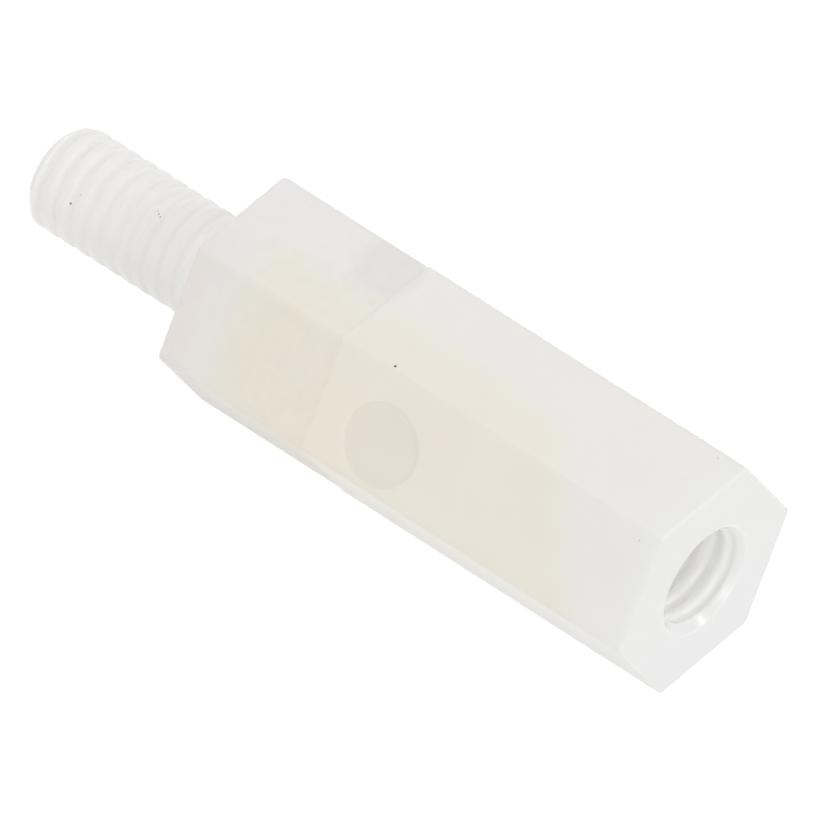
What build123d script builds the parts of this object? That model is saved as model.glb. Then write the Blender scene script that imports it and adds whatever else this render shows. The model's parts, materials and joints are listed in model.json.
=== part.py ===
from build123d import *
import os

# A hex standoff, moulded in one shot from natural polyamide, male at one end and female at the other.
# Its axis is X. The shoulder, where the stud meets the hexagon, is at x = 0: the stud reaches to -X,
# and the tapped hole opens at the +X end. It lies on one flat, so Z is up. Sizes are in millimetres.

# hexagonal body
sides = 6
across_flats = 5.5
body_length = 15.0
long_edge_radius = 0.2
end_edge_radius = 0.08

# the mould's two halves meet on a plane across the body, and the stud's half is a shade the smaller
mould_joint_x = 4.7
mould_joint_step = 0.03

# stud, drawn over the crests of its thread
stud_length = 6.0
stud_diameter = 2.8
tip_chamfer = 0.3
root_fillet_radius = 0.15

# blind hole, drawn over the crests of its thread, with a 90 degree countersink for a mouth
hole_depth = 9.0
bore_diameter = 2.5
mouth_diameter = 3.05
countersink_angle = 90
hole_floor_chamfer = 0.3

# round witness mark of an ejector pin, in the flat next to the top one
pin_mark_x = 6.75
pin_mark_off_centre = 0.34
pin_mark_diameter = 2.2
pin_mark_depth = 0.04

# planes and turns that follow from the sizes above
side_angle = 360 / sides
flat_on_top = 90 - side_angle / 2
shoulder = Plane.YZ
joint_plane = shoulder.offset(mould_joint_x)
female_end = shoulder.offset(body_length)
marked_flat = Plane.XY.rotated((side_angle, 0, 0)).offset(across_flats / 2)

with BuildPart() as hex_standoff:
    # the stud's half of the hexagon, from the shoulder to the mould joint
    with BuildSketch(shoulder):
        RegularPolygon(across_flats / 2 - mould_joint_step, sides, major_radius=False, rotation=flat_on_top)
        fillet(vertices(), long_edge_radius)
    extrude(amount=mould_joint_x)

    # the hole's half, from the joint to the female end
    with BuildSketch(joint_plane):
        RegularPolygon(across_flats / 2, sides, major_radius=False, rotation=flat_on_top)
        fillet(vertices(), long_edge_radius)
    extrude(amount=body_length - mould_joint_x)

    # softened outlines of the two end faces
    fillet(edges().group_by(Axis.X)[0], end_edge_radius)
    fillet(edges().group_by(Axis.X)[-1], end_edge_radius)

    # stud, with its chamfered tip and the fillet that joins it to the shoulder
    with BuildSketch(shoulder):
        Circle(stud_diameter / 2)
    extrude(amount=-stud_length)
    fillet(edges(Select.LAST).sort_by(Axis.X)[-1], root_fillet_radius)
    chamfer(edges().group_by(Axis.X)[0], tip_chamfer)

    # tapped hole with its countersunk mouth, and the bevel that the core pin leaves round its floor
    with Locations(female_end):
        CounterSinkHole(bore_diameter / 2, mouth_diameter / 2, hole_depth, countersink_angle)
    chamfer(edges(Select.LAST).sort_by(Axis.X)[0], hole_floor_chamfer)

    # witness mark
    with BuildSketch(marked_flat):
        with Locations((pin_mark_x, -pin_mark_off_centre)):
            Circle(pin_mark_diameter / 2)
    extrude(amount=-pin_mark_depth, mode=Mode.SUBTRACT)

hex_standoff.part.label = "hex_standoff"

os.makedirs("parts", exist_ok=True)
export_step(hex_standoff.part, "parts/hex_standoff.step")
print(f"hex_standoff: {hex_standoff.part.volume:.1f} cubic mm")
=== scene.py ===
import json
import bpy
import numpy as np
from math import cos, pi, radians, sin, tan
from mathutils import Matrix, Vector


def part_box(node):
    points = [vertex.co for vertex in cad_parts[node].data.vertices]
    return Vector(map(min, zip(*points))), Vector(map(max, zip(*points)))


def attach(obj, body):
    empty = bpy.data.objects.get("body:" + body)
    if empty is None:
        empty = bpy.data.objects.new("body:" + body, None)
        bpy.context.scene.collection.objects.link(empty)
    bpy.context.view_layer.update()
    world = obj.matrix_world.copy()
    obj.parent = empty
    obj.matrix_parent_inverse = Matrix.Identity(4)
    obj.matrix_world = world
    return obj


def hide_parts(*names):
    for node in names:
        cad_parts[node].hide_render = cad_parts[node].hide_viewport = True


# Looks of a moulded nylon hex standoff: threaded stud at -X, tapped hole at +X, lying on one flat.
# Shapes are worked out in millimetres and scaled to metres when they become a mesh.

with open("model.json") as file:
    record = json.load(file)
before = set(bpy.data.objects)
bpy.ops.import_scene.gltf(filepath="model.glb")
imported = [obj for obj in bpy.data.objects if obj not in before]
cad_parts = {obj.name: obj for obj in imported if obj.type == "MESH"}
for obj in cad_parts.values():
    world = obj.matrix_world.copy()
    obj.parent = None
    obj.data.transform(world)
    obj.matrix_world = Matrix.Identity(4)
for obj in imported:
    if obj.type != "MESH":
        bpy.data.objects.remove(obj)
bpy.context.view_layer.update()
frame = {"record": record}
mm = 0.001
nodeLow, nodeHigh = (np.array(corner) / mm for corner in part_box("hex_standoff"))
mounts = {mount["name"]: mount for mount in frame["record"]["mounts"]}
print("frame loaded, box in mm", nodeLow.round(3), nodeHigh.round(3))

# the standoff, in mm and degrees; the outer sizes come from the frame
standoff = {
    "studLength": -nodeLow[0],
    "bodyLength": nodeHigh[0],
    "apothem": nodeHigh[2],                            # half the distance across the flats
    "studRadius": mounts["stud"]["dims"]["r_mm"],      # over the crests of the thread
    "boreRadius": mounts["tapped_hole"]["dims"]["r_mm"],
    "longEdgeRadius": 0.2,
    "endEdgeRadius": 0.08,
    "tipChamfer": 0.3,
    "rootFillet": 0.15,
    "holeDepth": 9.0,
    "floorBevel": 0.3,
    "mouthRadius": 1.525,
    "mouldJointX": 4.7,
    "mouldJointStep": 0.03,
    "mouldJointWidth": 0.016,                          # over which the step rises
    "pitch": 0.5,                                      # M3 coarse, right-handed
    "flankAngle": 30,                                  # of each flank, from square to the axis
    "studThreadDepth": 0.11,
    "studCrestShare": 0.66,                            # of what the flanks leave of the pitch; the rest is root
    "boreThreadDepth": 0.12,
    "boreCrestShare": 0.55,
    "threadSoftness": 0.25,                            # rounding of crests and roots, as a share of the depth
    "threadFade": 0.55,                                # length over which a thread runs out
    "studThreadEnd": -0.35,                            # x where the stud's groove has run out
    "boreThreadEnd": 7.1,                              # and where the tap's has
    "cutBlend": 0.02,                                  # rounding where a chamfer cuts a thread
    "sink": 0.018,                                     # how far a flat has shrunk in at its middle
    "sinkFade": (0.1, 1.6),                            # distances from an end between which it sets in
    "markX": 6.75,                                     # ejector pin's witness mark
    "markOffCentre": 0.34,
    "markRadius": 1.1,
    "markDepth": 0.04,
    "markEdge": (0.045, 0.02),                         # its edge slopes from so far inside to so far outside
    "markFaceAngle": 150,
    "columns": {"flat": 30, "markedFlat": 46, "longEdge": 8},
    "rows": {"studThread": 137, "mark": 46, "boreThread": 158},
}


def smoothStep(value, low, high):
    # 0 below low, 1 above high, and 3t^2 - 2t^3 between them
    t = np.clip((value - low) / (high - low), 0, 1)
    return t * t * (3 - 2 * t)


def softClamp(value, softness):
    # clamp to 0..1 with hyperbolas for corners: half of |v| - |v - 1| + 1, each bar rounded by the softness
    return (np.sqrt(value**2 + softness**2) - np.sqrt((value - 1)**2 + softness**2) + 1) / 2


def softLarger(a, b, blend):
    # the larger of two: half of a + b + |a - b|, the bar rounded by the blend
    return (a + b + np.sqrt((a - b)**2 + blend**2)) / 2


def sectionColumns(s):
    # The columns of the grid, once round the hexagon. A point of the section is base * (apothem - edge radius)
    # + normal * edge radius: on a flat the base runs along the side of a unit hexagon and the normal stands
    # still, and on a long edge the base stands still and the normal turns 60 degrees. Round sections take the
    # same number of columns, at even angles.
    count = s["columns"]
    base, normal, along = [], [], []
    for faceAngle in range(30, 390, 60):
        t = np.linspace(-1, 1, count["markedFlat"] if faceAngle == s["markFaceAngle"] else count["flat"])
        a = radians(faceAngle)
        out, side = np.array([cos(a), sin(a)]), np.array([-sin(a), cos(a)])
        base.append(out + t[:, None] * tan(pi / 6) * side)
        normal.append(np.repeat(out[None], len(t), 0))
        along.append(t)
        turn = a + np.linspace(0, pi / 3, count["longEdge"])[1:-1]
        base.append(np.repeat(base[-1][-1:], len(turn), 0))
        normal.append(np.stack([np.cos(turn), np.sin(turn)], 1))
        along.append(np.ones(len(turn)))
    base, normal, along = map(np.concatenate, (base, normal, along))
    evenly = np.arange(len(along)) / len(along) * 2 * pi
    return {"base": base, "normal": normal, "along": along, "angle": evenly}


def hexRings(s, columns, x, apothem, inset):
    # Rings of the rounded hexagon: base * (apothem - edge radius) + normal * (edge radius - inset). Each of x,
    # apothem and inset is one number a ring, or one for each column too.
    x, apothem, inset = (np.atleast_1d(v)[:, None] if np.ndim(v) < 2 else v for v in (x, apothem, inset))
    core = columns["base"][None] * (apothem - s["longEdgeRadius"])[..., None]
    skin = columns["normal"][None] * (s["longEdgeRadius"] - inset)[..., None]
    yz = core + skin
    return np.concatenate([np.broadcast_to(x[..., None], yz.shape[:2] + (1,)), yz], 2)


def roundRings(columns, x, radius):
    # Rings round the axis: (x, radius cos(angle), radius sin(angle)), with radius a number a ring or one for
    # each column.
    x = np.atleast_1d(x)[:, None]
    radius = np.atleast_1d(radius)[:, None] if np.ndim(radius) < 2 else radius
    radius = np.broadcast_to(radius, (len(x), len(columns["angle"])))
    a = columns["angle"][None]
    return np.stack([np.broadcast_to(x, radius.shape), radius * np.cos(a), radius * np.sin(a)], 2)


def threadGroove(s, x, angle, depth, crestShare):
    # Depth of a 60 degree thread under its crests. The distance to the nearest crest is the pitch times the
    # wrapped phase x / pitch - angle / full turn, the height falls by the flank's slope from the crest, and the
    # groove is the depth times 1 - height.
    phase = x / s["pitch"] - angle / (2 * pi)
    toCrest = s["pitch"] * np.abs(phase - np.round(phase))
    flankRun = depth * tan(radians(s["flankAngle"]))
    crestHalf = (s["pitch"] / 2 - flankRun) * crestShare
    return depth * (1 - softClamp((crestHalf + flankRun - toCrest) / flankRun, s["threadSoftness"]))


def studRows(s, columns):
    # From the tip's middle to the shoulder. The thread's radius is cut by the tip's 45 degree chamfer, and its
    # groove fades out before the fillet, a quarter circle that meets the shoulder.
    tipX, r = -s["studLength"], s["studRadius"]
    flat = r - s["tipChamfer"]
    tip = roundRings(columns, [tipX] * 4, [0.35, 0.75, flat - 0.08, flat - 0.02])
    x = np.concatenate([tipX + np.array([0.003, 0.015]),
                        np.linspace(tipX + 0.04, -s["rootFillet"], s["rows"]["studThread"])])[:, None]
    groove = threadGroove(s, x, columns["angle"][None], s["studThreadDepth"], s["studCrestShare"])
    groove = groove * (1 - smoothStep(x, s["studThreadEnd"] - s["threadFade"], s["studThreadEnd"]))
    chamfer = flat + (x - tipX)
    lower = -softLarger(groove - r, -chamfer, s["cutBlend"])
    shank = roundRings(columns, x[:, 0], np.minimum(lower, r))
    a = np.linspace(0, pi / 2, 7)[1:]
    fillet = roundRings(columns, -s["rootFillet"] * (1 - np.sin(a)), r + s["rootFillet"] * (1 - np.cos(a)))
    return np.concatenate([tip, shank, fillet])


def flatRing(inner, outer, shares):
    # Rings between two rings of the same grid, at these shares of the way
    shares = np.array(shares)[:, None, None]
    return inner[None] * (1 - shares) + outer[None] * shares


def bodyRows(s, columns):
    # From the shoulder's outline to the female end's. The flats have shrunk in a little at their middle: the
    # inset is the sink times (1 - along^2), fading to nothing near both ends, where the wall holds them. A step
    # stands at the mould joint, and the witness mark is a disc pushed in by its depth.
    e, length, joint = s["endEdgeRadius"], s["bodyLength"], s["mouldJointX"]
    a = np.linspace(0, pi / 2, 6)
    small = s["apothem"] - s["mouldJointStep"]
    startEdge = hexRings(s, columns, e * (1 - np.cos(a)), small, e * (1 - np.sin(a)))
    markReach = s["markRadius"] + 0.08
    markRowsX = np.linspace(s["markX"] - markReach, s["markX"] + markReach, s["rows"]["mark"])
    x = np.concatenate([
        [e + 0.04], np.linspace(0.4, joint - 0.15, 10),
        joint + np.array([-0.05, -0.012, -0.004, 0.004, 0.012, 0.05, 0.15]),
        np.linspace(joint + 0.3, markRowsX[0] - 0.1, 4), markRowsX,
        np.linspace(markRowsX[-1] + 0.15, length - 0.4, 14), [length - e - 0.04]])[:, None]
    along = columns["along"][None]
    near, far = s["sinkFade"]
    hold = smoothStep(x, near, far) * (1 - smoothStep(x, length - far, length - near))
    sink = s["sink"] * (1 - along**2) * hold
    step = small + s["mouldJointStep"] * softClamp((x - joint) / s["mouldJointWidth"] + 0.5, 0.2)

    faceHalf = (s["apothem"] - s["longEdgeRadius"]) * tan(pi / 6)
    faceAngle = radians(s["markFaceAngle"])
    onMarkFace = np.isclose(columns["normal"] @ [cos(faceAngle), sin(faceAngle)], 1)
    fromMark = np.hypot(x - s["markX"], along * faceHalf - s["markOffCentre"])
    within, beyond = s["markEdge"]
    edge = smoothStep(fromMark, s["markRadius"] - within, s["markRadius"] + beyond)
    mark = s["markDepth"] * (1 - edge) * onMarkFace[None]

    flats = hexRings(s, columns, np.broadcast_to(x, sink.shape), np.broadcast_to(step, sink.shape), sink + mark)
    endEdge = hexRings(s, columns, length - e * (1 - np.sin(a)), s["apothem"], e * (1 - np.cos(a)))
    return np.concatenate([startEdge, flats, endEdge])


def holeRows(s, columns):
    # From the mouth's rim to the middle of the floor: a 45 degree countersink, the female thread cut back by
    # it, its run-out, the plain end of the core pin and the bevel round the floor.
    length, r, bevel = s["bodyLength"], s["boreRadius"], s["floorBevel"]
    floorX = length - s["holeDepth"]
    x = np.concatenate([length - np.array([0.004, 0.02]),
                        np.linspace(length - 0.045, s["boreThreadEnd"], s["rows"]["boreThread"])])[:, None]
    groove = threadGroove(s, x, columns["angle"][None], s["boreThreadDepth"], s["boreCrestShare"])
    groove = groove * smoothStep(x, s["boreThreadEnd"], s["boreThreadEnd"] + s["threadFade"])
    cone = s["mouthRadius"] - (length - x)
    wall = roundRings(columns, x[:, 0], softLarger(r + groove, cone, s["cutBlend"]))
    pin = roundRings(columns, [floorX + bevel + 0.02, floorX + 0.02, floorX, floorX, floorX],
                     [r, r - bevel + 0.01, r - bevel - 0.02, 0.55, 0.25])
    return np.concatenate([wall, pin])


def closedGridMesh(name, rows, firstPole, lastPole):
    # One vertex a grid point, a quad between neighbours, wrapped round the columns, and a fan at each pole.
    # Rows run from the first pole outward over the part, and columns turn from +Y to +Z, so faces look out.
    ringCount, columnCount = rows.shape[:2]
    points = np.concatenate([[firstPole], rows.reshape(-1, 3), [lastPole]]) * mm
    here = 1 + np.arange(ringCount * columnCount).reshape(ringCount, columnCount)
    nextColumn = np.roll(here, -1, 1)
    quads = np.stack([here[:-1], nextColumn[:-1], nextColumn[1:], here[1:]], 2).reshape(-1, 4)
    last = len(points) - 1
    startFan = np.stack([np.zeros(columnCount, int), nextColumn[0], here[0]], 1)
    endFan = np.stack([np.full(columnCount, last), here[-1], nextColumn[-1]], 1)
    mesh = bpy.data.meshes.new(name)
    mesh.from_pydata(points.tolist(), [], quads.tolist() + startFan.tolist() + endFan.tolist())
    mesh.shade_smooth()
    mesh.update()
    piece = bpy.data.objects.new(name, mesh)
    bpy.context.scene.collection.objects.link(piece)
    print(name, "has", 2 * len(quads) + 2 * columnCount, "triangles")
    return piece


def makeStandoff(s):
    # The whole skin in one closed grid: stud, shoulder, body, end face and hole, in that order.
    columns = sectionColumns(s)
    stud, body, hole = studRows(s, columns), bodyRows(s, columns), holeRows(s, columns)
    shoulder = flatRing(stud[-1], body[0], [0.06, 0.3, 0.65, 0.94])
    mouth = roundRings(columns, s["bodyLength"], s["mouthRadius"] + 0.01)[0]
    endFace = flatRing(body[-1], mouth, [0.05, 0.35, 0.7, 0.97, 1.0])
    rows = np.concatenate([stud, shoulder, body, endFace, hole])
    tipMiddle = [-s["studLength"], 0, 0]
    floorMiddle = [s["bodyLength"] - s["holeDepth"], 0, 0]
    return closedGridMesh("standoffSkin", rows, tipMiddle, floorMiddle)


skin = makeStandoff(standoff)
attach(skin, "root")
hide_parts("hex_standoff")


def linearColour(hexCode, alpha=1.0):
    # sRGB hex to the linear colour that Blender's sockets hold
    channels = np.array([int(hexCode[i:i + 2], 16) for i in (1, 3, 5)]) / 255
    linear = np.where(channels <= 0.04045, channels / 12.92, ((channels + 0.055) / 1.055)**2.4)
    return (*linear.tolist(), alpha)


def addNode(tree, kind, inputs=None, **settings):
    # Adds one node: settings are its own properties, and inputs are numbers, or sockets to link from.
    node = tree.nodes.new(kind)
    for name, value in settings.items():
        setattr(node, name, value)
    for socket, value in (inputs or {}).items():
        if isinstance(value, bpy.types.NodeSocket):
            tree.links.new(value, node.inputs[socket])
        else:
            node.inputs[socket].default_value = value
    return node


# natural polyamide 66, moulded; places and sizes in mm
nylon = {
    "thin": "#fbfbfc",                                 # walls round the hole: light passes straight through
    "colours": {                                       # laid over it in this order, each on its own zone
        "cream": "#fbf5e6",                            # the solid middle, where the resin's own cream adds up, with painted shade that makes it more on the front and less low down
        "warm": "#fdf4e6",                             # a warmer cream on the front, round the mould joint: painted shade, as the front faces away from the lamps
        "pink": "#faf4f0",                             # faint pink just inside the shoulder
        "stud": "#fefdfb",                             # thin, and lit from every side: partly the thin resin's whiteness, partly painted light
        "bore": "#fefefe",                             # wall of the hole: painted light, whiter for the light that comes in through the resin round it
    },
    # A zone is the product of its fades. A fade says what it measures, where it starts and where it is over,
    # and the two values that it runs between where they aren't 0 and 1.
    "zones": {
        # painted light and shade in the cream and warm zones: more cream and warmer on the front, which faces
        # away from the lamps, and less low down, where the floor lights it
        "nearCream": [("fromCreamEnd", 1.5, -1.7), ("y", 1.1, -0.9)],
        "farCream": [("fromEnd", 0.2, -2.2, 0.1, 0.42)],
        "cream": [("x", -0.1, 2.2), ("clouds", 0.3, 0.7, 0.8, 1.0), ("z", -0.8, 0.3, 0.3, 1.0)],
        "warm": [("x", 1.6, 3.6), ("x", 7.2, 5.2), ("y", -1.2, -2.2), ("z", -0.8, 0.3, 0.3, 1.0),
                 ("clouds", 0.35, 0.55, 0.4, 1.0)],
        "pink": [("x", -0.05, 0.05), ("x", 2.0, 0.4), ("y", 0.6, -1.6, 0.35, 1.0)],
        "stud": [("x", 0.05, -0.05)],
        "bore": [("fromAxis", 1.62, 1.5), ("x", 4.5, 5.5)],
        "deepInBore": [("fromEnd", 0.0, -1.3)],
        "underside": [("z", 0.1, -0.4), ("x", -0.05, 0.05), ("fromEnd", -0.1, -0.5)],
        "eroded": [("fromJoint", 0.03, -0.03), ("x", -0.05, 0.05)],
        "pits": [("grain", 0.62, 0.4)],
    },
    "creamEndsFar": 9.4,                               # x where the cream ends at the top flat's far edge
    "creamEndsNear": 13.75,                            # and at the front flat's lower edge
    "scatter": {"body": 0.08, "bore": 0.8, "underside": 0.5},     # how far light wanders under the skin
    "scatterTint": (1.0, 0.95, 0.86),                  # red goes a little further than blue
    "ior": 1.53,
    "roughness": {
        "polished": 0.34,                              # of the half from the polished cavity
        "eroded": 0.46,                                # of the stud's half, from a spark-eroded one
        "bore": 0.2,                                   # of the hole, which the core pin leaves glossier
        "clouds": 0.06,                                # added in the clouds
        "gateScar": 0.08,                              # added where the gate was trimmed
    },
    "cloudsPerMm": 0.55,
    "grainSize": 0.13,                                 # real eroded grain is nearer 0.05, too fine to show
    "grainHeight": 0.004,
    "peelPerMm": 1.4,                                  # slow unevenness of the polished half
    "peelHeight": 0.0012,
    "gateScar": (4.07, 0.76, 2.72),                    # rubbed patch where the gate was trimmed
    "gateScarRadii": (0.65, 1.15),                     # where it starts to fade and where it ends
    "raggedPerMm": 1.6,                                # of the noise that makes its edge ragged
    "frontDarkSpot": (13.86, -2.25, 1.6),                 # soft darker spot under the front flat, whose cause is not known
    "frontDarkSpotRadii": (0.15, 0.8),
    "jointShadeLineHalf": 0.03,                             # half the width of the painted shade line at the mould joint's step
    "shade": {"gateScar": 0.05, "witnessMark": 0.05, "frontDarkSpot": 0.015, "jointShadeLine": 0.013, "pits": 0.012},
    "specks": [(-4.606, -1.123, 0.673, 0.026), (-4.43, -0.974, 0.987, 0.02), (-2.322, -0.436, 1.33, 0.018),
               (-2.397, -0.38, 1.347, 0.013), (-2.244, -0.473, 1.314, 0.016), (-4.981, -1.288, 0.097, 0.012),
               (6.318, -1.496, 2.748, 0.035), (14.414, -1.76, 2.449, 0.012), (14.093, 0.335, 2.741, 0.009),
               (14.232, 1.347, 2.749, 0.013), (14.99, 3.065, 0.126, 0.026)],     # place and radius
    "speckColour": "#4c4944",                          # charred resin
}


def addShares(tree, total, *shares):
    # the total, plus each mask times its amount; either may be a number or a socket
    for mask, amount in shares:
        total = addNode(tree, "ShaderNodeMath", {0: mask, 1: amount, 2: total},
                        operation="MULTIPLY_ADD").outputs[0]
    return total


def zoneMask(tree, at, fades):
    # product of smooth fades, each held at its end values outside its range
    mask = None
    for measure, start, over, *values in fades:
        low, high = values or (0.0, 1.0)
        fade = addNode(tree, "ShaderNodeMapRange", {"Value": at[measure], "From Min": start, "From Max": over,
                       "To Min": low, "To Max": high}, interpolation_type="SMOOTHSTEP").outputs[0]
        mask = addShares(tree, 0.0, (mask, fade)) if mask else fade
    return mask


def spotMask(tree, position, centre, full, none):
    # 1 within full mm of a point, falling to 0 at none mm
    far = addNode(tree, "ShaderNodeVectorMath", {0: position, 1: centre}, operation="DISTANCE").outputs["Value"]
    return zoneMask(tree, {"far": far}, [("far", none, full)])


def measures(tree, n, s):
    # what the zones are told by: the place on the part in mm, distances from its features, and two noises
    place = addNode(tree, "ShaderNodeTexCoord").outputs["Object"]
    position = addNode(tree, "ShaderNodeVectorMath", {0: place, "Scale": 1 / mm}, operation="SCALE").outputs[0]
    axes = addNode(tree, "ShaderNodeSeparateXYZ", {0: position}).outputs
    at = {"position": position, "x": axes["X"], "y": axes["Y"], "z": axes["Z"]}
    across = addNode(tree, "ShaderNodeVectorMath", {0: position, 1: (0.0, 1.0, 1.0)}, operation="MULTIPLY")
    at["fromAxis"] = addNode(tree, "ShaderNodeVectorMath", {0: across.outputs[0]},
                             operation="LENGTH").outputs["Value"]

    # the cream's end slants: it comes sooner at the far side
    sideHalf = s["apothem"] * tan(pi / 6)
    creamEnd = addNode(tree, "ShaderNodeMapRange", {
        "Value": at["y"], "From Min": sideHalf, "From Max": -2 * sideHalf,
        "To Min": n["creamEndsFar"], "To Max": n["creamEndsNear"]}).outputs[0]
    starts = {"fromEnd": s["bodyLength"], "fromJoint": s["mouldJointX"], "fromCreamEnd": creamEnd}
    for name, start in starts.items():
        at[name] = addNode(tree, "ShaderNodeMath", {0: at["x"], 1: start}, operation="SUBTRACT").outputs[0]

    for name, perMm, detail in (("clouds", n["cloudsPerMm"], 3.0), ("grain", 0.5 / n["grainSize"], 2.5)):
        at[name] = addNode(tree, "ShaderNodeTexNoise",
                           {"Vector": position, "Scale": perMm, "Detail": detail}).outputs[0]
    return at


def mouldedNaturalPolyamide(n, s):
    # Unfilled, undyed nylon as it comes from the mould: milky and translucent, white where it is thin and cream
    # where it is thick, with a soft satin gloss, fine eroded grain on the stud's half and a few charred specks.
    # Its colour also holds painted light and shade: a whiter stud and hole, more and warmer cream on the front,
    # less cream low down, and a darker line at the mould joint.
    material = bpy.data.materials.new("mouldedNaturalPolyamide")
    material.use_nodes = True
    tree = material.node_tree
    tree.nodes.clear()
    at = measures(tree, n, s)
    position = at["position"]
    zones = {name: zoneMask(tree, at, fades) for name, fades in n["zones"].items()}

    # cream: partly the resin's own tint, growing with the thickness that the light has crossed, and partly
    # painted shade: none in the stud, most at the front of the solid middle, which faces away from the lamps,
    # and some of it on the far side
    cream = addNode(tree, "ShaderNodeMath", {0: zones["nearCream"], 1: zones["farCream"]}, operation="MAXIMUM")
    zones["cream"] = addShares(tree, 0.0, (cream.outputs[0], zones["cream"]))
    resin = linearColour(n["thin"])
    # painted light: the hole's colour, and part of the stud's, is whiter for the light that reaches them
    for name, colour in n["colours"].items():
        resin = addNode(tree, "ShaderNodeMix", {0: zones[name], 6: resin, 7: linearColour(colour)},
                        data_type="RGBA").outputs[2]

    # light wanders further in the walls round the hole and in the flats underneath
    inBore = addShares(tree, 0.0, (zones["bore"], zones["deepInBore"]))
    wander = n["scatter"]
    scatter = addShares(tree, wander["body"] * mm, (inBore, (wander["bore"] - wander["body"]) * mm),
                        (zones["underside"], (wander["underside"] - wander["body"]) * mm))

    # local shades: each mask times how much light it takes
    push = addNode(tree, "ShaderNodeTexNoise", {"Vector": position, "Scale": n["raggedPerMm"], "Detail": 3.0})
    ragged = addNode(tree, "ShaderNodeVectorMath", {0: position, 1: push.outputs["Color"]}, operation="ADD")
    scarCentre = [c + 0.5 for c in n["gateScar"]]      # the noise pushes by 0.5 on average
    scar = spotMask(tree, ragged.outputs[0], scarCentre, *n["gateScarRadii"])
    a = radians(s["markFaceAngle"])
    markCentre = (s["markX"], s["apothem"] * cos(a) - s["markOffCentre"] * sin(a),
                  s["apothem"] * sin(a) + s["markOffCentre"] * cos(a))
    masks = {
        "gateScar": scar,
        "witnessMark": spotMask(tree, position, markCentre, s["markRadius"] - 0.03, s["markRadius"] + 0.01),
        "frontDarkSpot": spotMask(tree, position, n["frontDarkSpot"], *n["frontDarkSpotRadii"]),
        # painted shade: a darker line along the mould joint's step
        "jointShadeLine": addNode(tree, "ShaderNodeMath", {0: at["fromJoint"], 1: 0.0, 2: n["jointShadeLineHalf"]},
                             operation="COMPARE").outputs[0],
        "pits": addShares(tree, 0.0, (zones["eroded"], zones["pits"])),
    }
    light = addShares(tree, 1.0, *((mask, -n["shade"][name]) for name, mask in masks.items()))
    resin = addNode(tree, "ShaderNodeVectorMath", {0: resin, "Scale": light}, operation="SCALE").outputs[0]

    # charred specks
    charred = 0.0
    for *centre, radius in n["specks"]:
        speck = spotMask(tree, position, centre, radius * 0.7, radius * 1.2)
        charred = addNode(tree, "ShaderNodeMath", {0: speck, 1: charred}, operation="MAXIMUM").outputs[0]
    resin = addNode(tree, "ShaderNodeMix", {0: charred, 6: resin, 7: linearColour(n["speckColour"])},
                    data_type="RGBA").outputs[2]

    # relief in mm: the grain on the stud's half, slow peel on the other, and torn resin on the gate's patch
    peel = addNode(tree, "ShaderNodeTexNoise", {"Vector": position, "Scale": n["peelPerMm"], "Detail": 1.0})
    grainHeight = addShares(tree, 0.0, (zones["eroded"], n["grainHeight"]), (scar, n["grainHeight"]))
    relief = addShares(tree, 0.0, (at["grain"], grainHeight), (peel.outputs[0], n["peelHeight"]))
    bump = addNode(tree, "ShaderNodeBump", {"Height": relief, "Strength": 1.0, "Distance": mm}).outputs[0]
    rough = n["roughness"]
    gloss = addShares(tree, rough["polished"], (zones["eroded"], rough["eroded"] - rough["polished"]),
                      (at["clouds"], rough["clouds"]), (scar, rough["gateScar"]),
                      (zones["bore"], rough["bore"] - rough["polished"]))
    surface = addNode(tree, "ShaderNodeBsdfPrincipled", {
        "Base Color": resin, "Roughness": gloss, "Normal": bump, "IOR": n["ior"], "Subsurface Weight": 1.0,
        "Subsurface Radius": n["scatterTint"], "Subsurface Scale": scatter}, subsurface_method="BURLEY")
    addNode(tree, "ShaderNodeOutputMaterial", {"Surface": surface.outputs["BSDF"]})
    return material


skin.data.materials.append(mouldedNaturalPolyamide(nylon, standoff))
print("nylon finished")

# the pale table and its light, in metres
studio = {
    "floorSize": 2.4,
    "floorGap": 0.00001,                               # under the part
    "floorColour": "#f8f8f6",
    "floorGlow": 1.35,                                 # what the eye, gloss and glass see of it; 1 is white
    "glowShare": 0.6,                                  # the rest is the lit floor, with the part's shadow
    "ambient": 0.66,                                   # world light on diffuse surfaces, where 1 is white
    "aim": (0.0045, 0, 0),                             # middle of the part, which the lamps look at
    "softboxes": {                                     # towards the lamp, how far off, its side, and its watts
        "endSoftbox": ((0.9, -0.25, 0.3), 0.6, 0.2, 0.43),
        "glintLamp": ((0.72, 0.52, 0.45), 0.6, 0.08, 0.22),
        "topSoftbox": ((-0.3, 0.35, 1.0), 0.7, 0.5, 0.6),
        "lowSoftbox": ((-0.3, -1.0, 0.12), 0.7, 0.15, 0.3),
    },
}


def forTheEye(tree, otherwise, value):
    # value for camera, glossy and transmission rays, and otherwise for the light that falls on things
    path, seen = addNode(tree, "ShaderNodeLightPath"), 0.0
    for ray in ("Is Camera Ray", "Is Glossy Ray", "Is Transmission Ray"):
        seen = addNode(tree, "ShaderNodeMath", {0: path.outputs[ray], 1: seen}, operation="MAXIMUM").outputs[0]
    return addShares(tree, otherwise, (seen, value - otherwise))


def makeWorld(st):
    world = bpy.data.worlds.new("paleRoom")
    bpy.context.scene.world = world
    world.use_nodes = True
    tree = world.node_tree
    tree.nodes.clear()
    strength = forTheEye(tree, st["ambient"], 1.0)
    sky = addNode(tree, "ShaderNodeBackground", {"Color": (1, 1, 1, 1), "Strength": strength})
    addNode(tree, "ShaderNodeOutputWorld", {"Surface": sky.outputs[0]})


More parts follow.
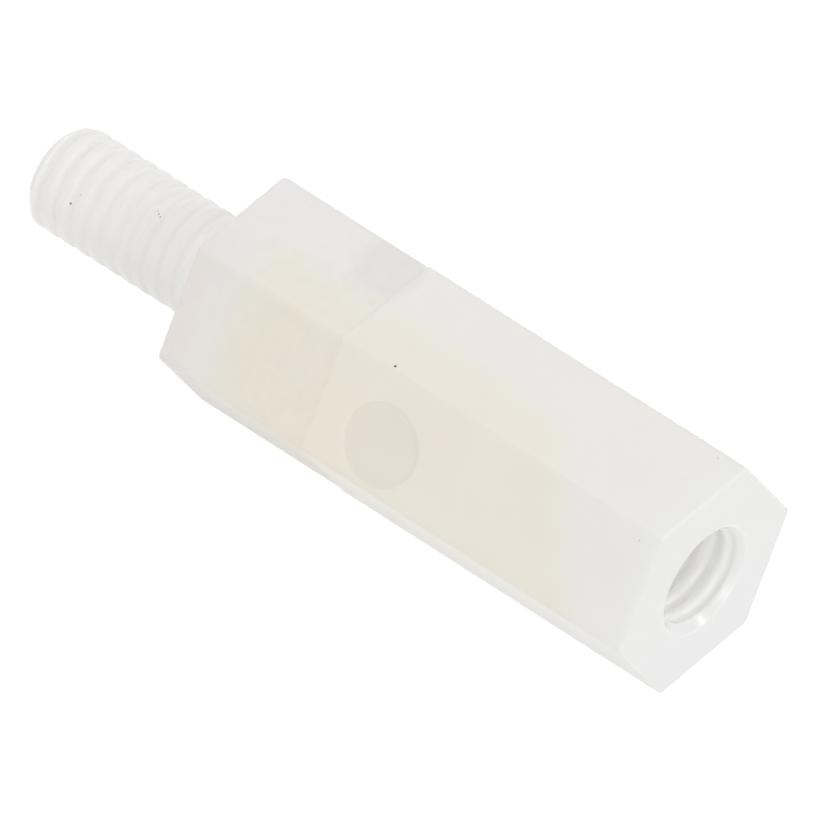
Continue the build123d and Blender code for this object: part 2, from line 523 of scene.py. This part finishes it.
def mattPaper(st):
    # uncoated white paper, evenly matt, which glows to the eye like an overlit backdrop but lights nothing
    material = bpy.data.materials.new("mattPaper")
    material.use_nodes = True
    tree = material.node_tree
    tree.nodes.clear()
    matt = addNode(tree, "ShaderNodeBsdfDiffuse", {"Color": linearColour(st["floorColour"])})
    glow = addNode(tree, "ShaderNodeEmission", {"Color": (1, 1, 1, 1), "Strength": st["floorGlow"]})
    seen = forTheEye(tree, 0.0, st["glowShare"])
    mixed = addNode(tree, "ShaderNodeMixShader", {0: seen, 1: matt.outputs[0], 2: glow.outputs[0]})
    addNode(tree, "ShaderNodeOutputMaterial", {"Surface": mixed.outputs[0]})
    return material


def makeFloor(st, height):
    half = st["floorSize"] / 2
    corners = [(-half, -half, height), (half, -half, height), (half, half, height), (-half, half, height)]
    mesh = bpy.data.meshes.new("floor")
    mesh.from_pydata(corners, [], [(0, 1, 2, 3)])
    mesh.materials.append(mattPaper(st))
    floor = bpy.data.objects.new("floor", mesh)
    bpy.context.scene.collection.objects.link(floor)


def addSoftbox(name, aim, towards, distance, size, power):
    # square area lamp that looks at the aim
    direction = Vector(towards).normalized()
    lamp = bpy.data.lights.new(name, "AREA")
    lamp.size, lamp.energy = size, power
    holder = bpy.data.objects.new(name, lamp)
    holder.location = Vector(aim) + direction * distance
    holder.rotation_euler = direction.to_track_quat("Z", "Y").to_euler()
    bpy.context.scene.collection.objects.link(holder)


makeWorld(studio)
makeFloor(studio, nodeLow[2] * mm - studio["floorGap"])
for name, lampSettings in studio["softboxes"].items():
    addSoftbox(name, studio["aim"], *lampSettings)
print("floor and light set")

# the photograph's view, found from the part's outline: nearly parallel, so the lens is very long
view = {
    "azimuth": 41.27,                                  # degrees; 0 looks along +Y
    "elevation": 46.48,
    "pixelsPerMm": 40.93,
    "originPixel": (241.4, 286.8),                     # the shoulder's centre
    "imageSize": 816,
    "lens": 1400,
    "sensor": 36,
    "clip": (0.05, 5),                                 # metres
}


def makeCamera(v):
    az, el = radians(v["azimuth"]), radians(v["elevation"])
    back = Vector((cos(el) * sin(az), -cos(el) * cos(az), sin(el)))
    right = Vector((cos(az), sin(az), 0))
    up = back.cross(right)
    middle = v["imageSize"] / 2
    acrossMm = (middle - v["originPixel"][0]) / v["pixelsPerMm"]
    downMm = (middle - v["originPixel"][1]) / v["pixelsPerMm"]
    partMiddle = Vector((nodeLow + nodeHigh) / 2)
    target = right * acrossMm - up * downMm + back * partMiddle.dot(back)
    distance = v["imageSize"] / v["pixelsPerMm"] / v["sensor"] * v["lens"]
    camera = bpy.data.cameras.new("camera")
    camera.lens, camera.sensor_width = v["lens"], v["sensor"]
    camera.clip_start, camera.clip_end = v["clip"]
    holder = bpy.data.objects.new("camera", camera)
    turn = Matrix((right, up, back)).transposed().to_4x4()
    holder.matrix_world = Matrix.Translation((target + back * distance) * mm) @ turn
    bpy.context.scene.collection.objects.link(holder)
    bpy.context.scene.camera = holder


makeCamera(view)
scene = bpy.context.scene
scene.view_settings.view_transform = "Standard"
scene.cycles.max_bounces, scene.cycles.diffuse_bounces = 24, 16     # light bounces on in pale nylon many times
print("camera set")
